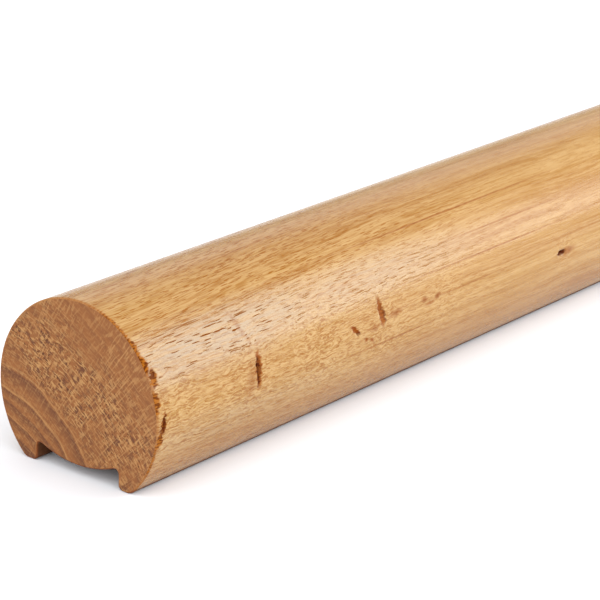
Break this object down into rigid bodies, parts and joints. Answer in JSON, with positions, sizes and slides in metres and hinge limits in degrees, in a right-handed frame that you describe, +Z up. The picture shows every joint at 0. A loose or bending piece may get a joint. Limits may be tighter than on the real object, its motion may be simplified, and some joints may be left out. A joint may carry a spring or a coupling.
{
  "type": "stair handrail",
  "caption": "Round moulded oak handrail length, planed flat underneath and grooved between two lips, with a crowned bed that seats dished handrail brackets.",
  "frame": {"origin": "on the floor under the middle of the length, midway between the two lips", "axes": "+X along the rail, +Y across it, +Z up, with the groove facing down"},
  "size_m": [1.2, 0.054, 0.047],
  "materials": {
    "oak": "honey oak, clear satin lacquer on the long faces, bare sawn end grain on the two ends"
  },
  "bodies": {
    "root": {"handrail": "oak"}
  },
  "joints": []
}
